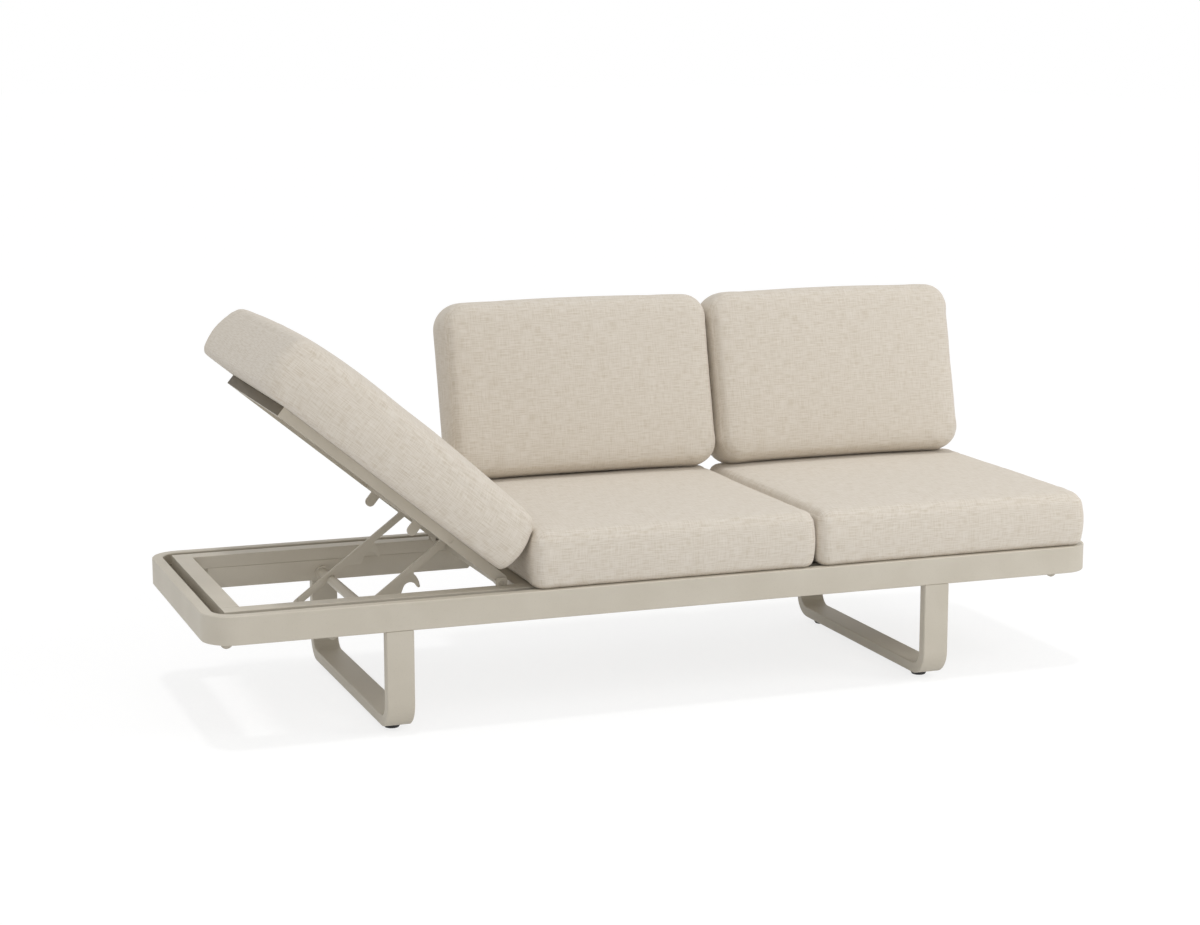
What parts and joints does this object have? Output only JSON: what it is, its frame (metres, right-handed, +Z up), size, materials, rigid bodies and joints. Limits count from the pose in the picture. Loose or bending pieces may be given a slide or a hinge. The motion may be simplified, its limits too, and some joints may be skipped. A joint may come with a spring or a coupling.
{
  "type": "outdoor modular sofa",
  "caption": "Low outdoor sofa platform on sled legs with seat and back cushions and a hinged recliner end held up by hooked prop arms on a cross tube.",
  "frame": {"origin": "middle of the whole sofa's bounding box, on the floor under the glides", "axes": "+X along the sofa towards the end away from the recliner, +Y from the front edge towards the backs, +Z up"},
  "size_m": [2.3, 0.873, 0.9275],
  "materials": {
    "frame_coating": "matte",
    "bolt_steel": "matte",
    "glide_plastic": "matte",
    "cushion_fabric": "matte"
  },
  "bodies": {
    "sofa_base": {"perimeter_band": "frame_coating", "front_inner_rail": "frame_coating", "rear_inner_rail": "frame_coating", "left_cross_member": "frame_coating", "hinge_cross_member": "frame_coating", "middle_cross_member": "frame_coating", "right_cross_member": "frame_coating", "gap_spacers": "frame_coating", "left_sled_leg": "frame_coating", "right_sled_leg": "frame_coating", "left_seat_slats": "frame_coating", "right_seat_slats": "frame_coating", "front_side_plate": "frame_coating", "rear_side_plate": "frame_coating", "ratchet_tube": "frame_coating", "tube_end_bosses": "frame_coating", "front_hinge_ear": "frame_coating", "rear_hinge_ear": "frame_coating", "link_brackets": "frame_coating", "left_back_frame": "frame_coating", "left_back_slats": "frame_coating", "right_back_frame": "frame_coating", "right_back_slats": "frame_coating", "hinge_bolts": "bolt_steel", "back_frame_bolts": "bolt_steel", "leg_glides": "glide_plastic", "left_seat_cushion": "cushion_fabric", "right_seat_cushion": "cushion_fabric", "left_back_cushion": "cushion_fabric", "right_back_cushion": "cushion_fabric"},
    "recliner": {"front_recliner_stile": "frame_coating", "rear_recliner_stile": "frame_coating", "recliner_top_rail": "frame_coating", "recliner_guide_rail": "frame_coating", "recliner_slats": "frame_coating", "arm_guide_lugs": "frame_coating", "recline_cushion": "cushion_fabric"},
    "prop_arms": {"front_prop_arm": "frame_coating", "rear_prop_arm": "frame_coating", "arm_pivot_rod": "frame_coating"}
  },
  "joints": [
    {"name": "recliner_hinge", "type": "hinge", "parent": "sofa_base", "child": "recliner", "pos_m": [-0.421, -0.05645, 0.326], "axis": [0, 1, 0], "range_deg": [-39.5, 0]},
    {"name": "prop_arm_pivot", "type": "hinge", "parent": "recliner", "child": "prop_arms", "pos_m": [-0.54339, -0.05645, 0.43661], "axis": [0, 1, 0], "range_deg": [0, 70.2]}
  ],
  "couplings": [
    {"joint": "prop_arm_pivot", "follows": "recliner_hinge", "ratio": -1.7747}
  ]
}
